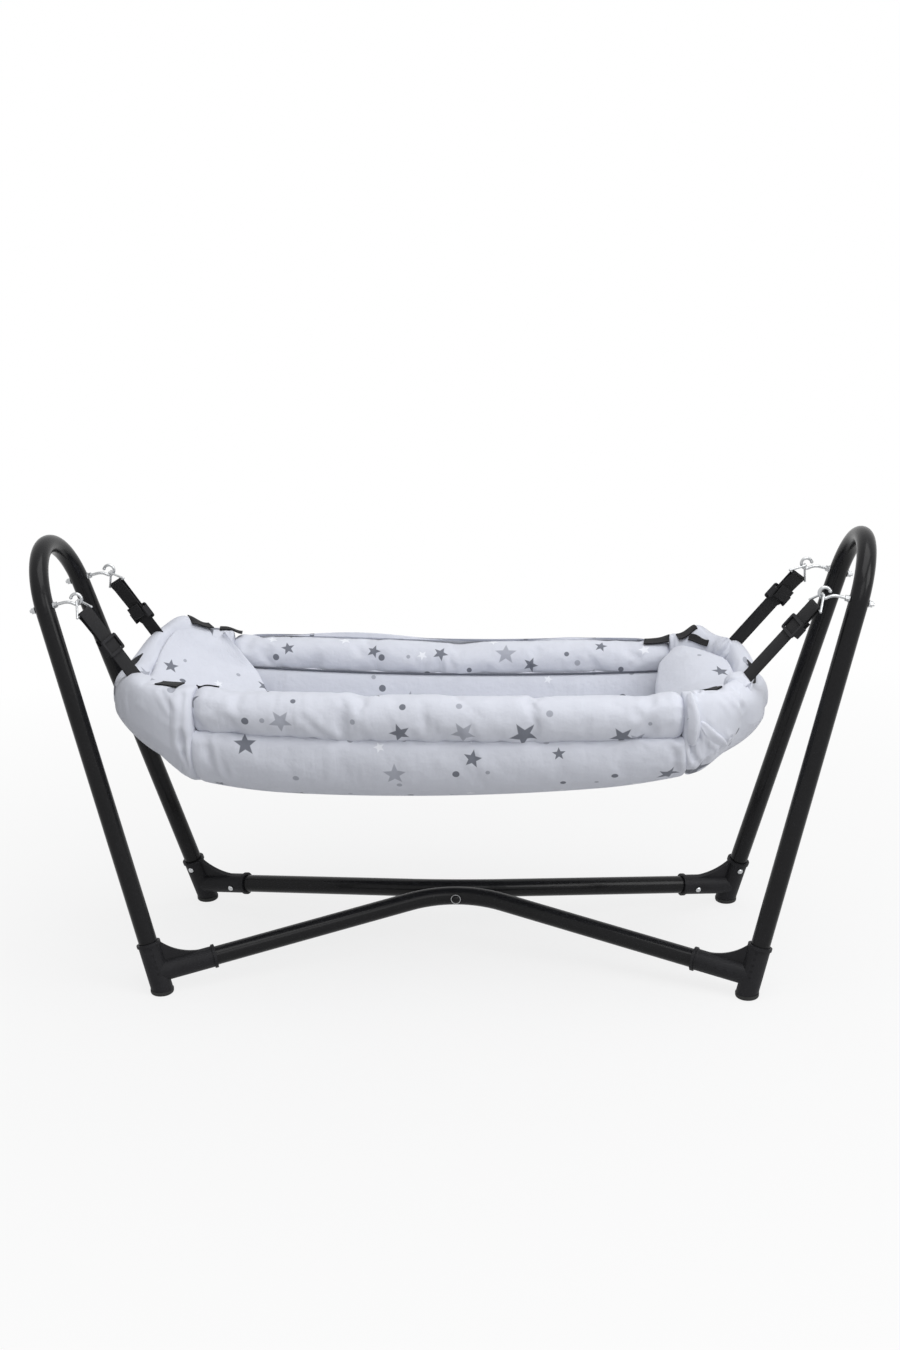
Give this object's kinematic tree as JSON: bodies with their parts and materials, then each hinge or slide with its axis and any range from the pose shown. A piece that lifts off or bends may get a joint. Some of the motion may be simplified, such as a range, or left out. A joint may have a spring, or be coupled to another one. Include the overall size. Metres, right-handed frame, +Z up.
{
  "type": "cat hammock",
  "caption": "Padded star-print hammock hung by adjustable webbing straps from hooks on a black tubular stand with two leaning arches and a crossed base.",
  "frame": {"origin": "on the floor under the middle of the stand", "axes": "+X along the hammock to the right as pictured, +Y to the rear, +Z up"},
  "size_m": [1.097, 0.3372, 0.5879],
  "materials": {
    "tube_black": "gloss powder coat",
    "connector_black": "moulded, fine grain",
    "foot_rubber": "matt",
    "bolt_black": "black oxide",
    "zinc": "bright zinc plate",
    "webbing_black": "flat woven webbing",
    "slider_black": "satin moulded",
    "printed_cloth": "pale grey cotton with printed stars and dots"
  },
  "bodies": {
    "stand": {"arch_left": "tube_black", "arch_right": "tube_black", "base_tube_front": "tube_black", "base_tube_rear": "tube_black", "corner_front_left": "connector_black", "corner_front_right": "connector_black", "corner_rear_left": "connector_black", "corner_rear_right": "connector_black", "foot_pad_front_left": "foot_rubber", "foot_pad_front_right": "foot_rubber", "foot_pad_rear_left": "foot_rubber", "foot_pad_rear_right": "foot_rubber", "hook_front_left": "zinc", "hook_front_right": "zinc", "hook_rear_left": "zinc", "hook_rear_right": "zinc", "corner_screws": "zinc", "base_bolt": "bolt_black", "base_nut": "bolt_black", "base_washers": "zinc", "hook_nuts": "zinc", "hook_washers": "zinc"},
    "front_straps": {"ring_front_left": "zinc", "ring_front_right": "zinc", "strap_front_left": "webbing_black", "strap_front_right": "webbing_black", "strap_return_front_left": "webbing_black", "strap_return_front_right": "webbing_black"},
    "rear_straps": {"ring_rear_left": "zinc", "ring_rear_right": "zinc", "strap_rear_left": "webbing_black", "strap_rear_right": "webbing_black", "strap_return_rear_left": "webbing_black", "strap_return_rear_right": "webbing_black"},
    "hammock": {"side_bolster_front": "printed_cloth", "side_bolster_rear": "printed_cloth", "side_panel_front": "printed_cloth", "side_panel_rear": "printed_cloth", "bed_pad": "printed_cloth", "end_bolster_left": "printed_cloth", "end_bolster_right": "printed_cloth", "end_panel_left": "printed_cloth", "end_panel_right": "printed_cloth", "rim_webbing_left": "webbing_black", "rim_webbing_right": "webbing_black", "corner_anchor_front_left": "printed_cloth", "corner_anchor_front_right": "printed_cloth", "corner_anchor_rear_left": "printed_cloth", "corner_anchor_rear_right": "printed_cloth"},
    "slide_front_left": {"slider_front_left": "slider_black", "strap_fold_front_left": "webbing_black"},
    "slide_front_right": {"slider_front_right": "slider_black", "strap_fold_front_right": "webbing_black"},
    "slide_rear_left": {"slider_rear_left": "slider_black", "strap_fold_rear_left": "webbing_black"},
    "slide_rear_right": {"slider_rear_right": "slider_black", "strap_fold_rear_right": "webbing_black"}
  },
  "joints": [
    {"name": "rock", "type": "hinge", "parent": "stand", "child": "front_straps", "pos_m": [0, -0.08381, 0.51666], "axis": [1, 0, 0], "range_deg": [-18, 18]},
    {"name": "rear_rock", "type": "hinge", "parent": "stand", "child": "rear_straps", "pos_m": [0, 0.08381, 0.51666], "axis": [1, 0, 0], "range_deg": [-18, 18]},
    {"name": "hammock_level", "type": "hinge", "parent": "front_straps", "child": "hammock", "pos_m": [0, -0.08381, 0.415], "axis": [1, 0, 0], "range_deg": [-18, 18]},
    {"name": "slider_front_left_slide", "type": "slide", "parent": "front_straps", "child": "slide_front_left", "axis": [-0.5546, 0, 0.8321], "range_m": [0, 0.0395], "deforming": ["strap_return_front_left"]},
    {"name": "slider_front_right_slide", "type": "slide", "parent": "front_straps", "child": "slide_front_right", "axis": [0.649, 0, 0.7608], "range_m": [0, 0.0215], "deforming": ["strap_return_front_right"]},
    {"name": "slider_rear_left_slide", "type": "slide", "parent": "rear_straps", "child": "slide_rear_left", "axis": [-0.5546, 0, 0.8321], "range_m": [0, 0.0395], "deforming": ["strap_return_rear_left"]},
    {"name": "slider_rear_right_slide", "type": "slide", "parent": "rear_straps", "child": "slide_rear_right", "axis": [0.649, 0, 0.7608], "range_m": [0, 0.0215], "deforming": ["strap_return_rear_right"]}
  ],
  "couplings": [
    {"joint": "rear_rock", "follows": "rock", "ratio": 1},
    {"joint": "hammock_level", "follows": "rock", "ratio": -1}
  ]
}
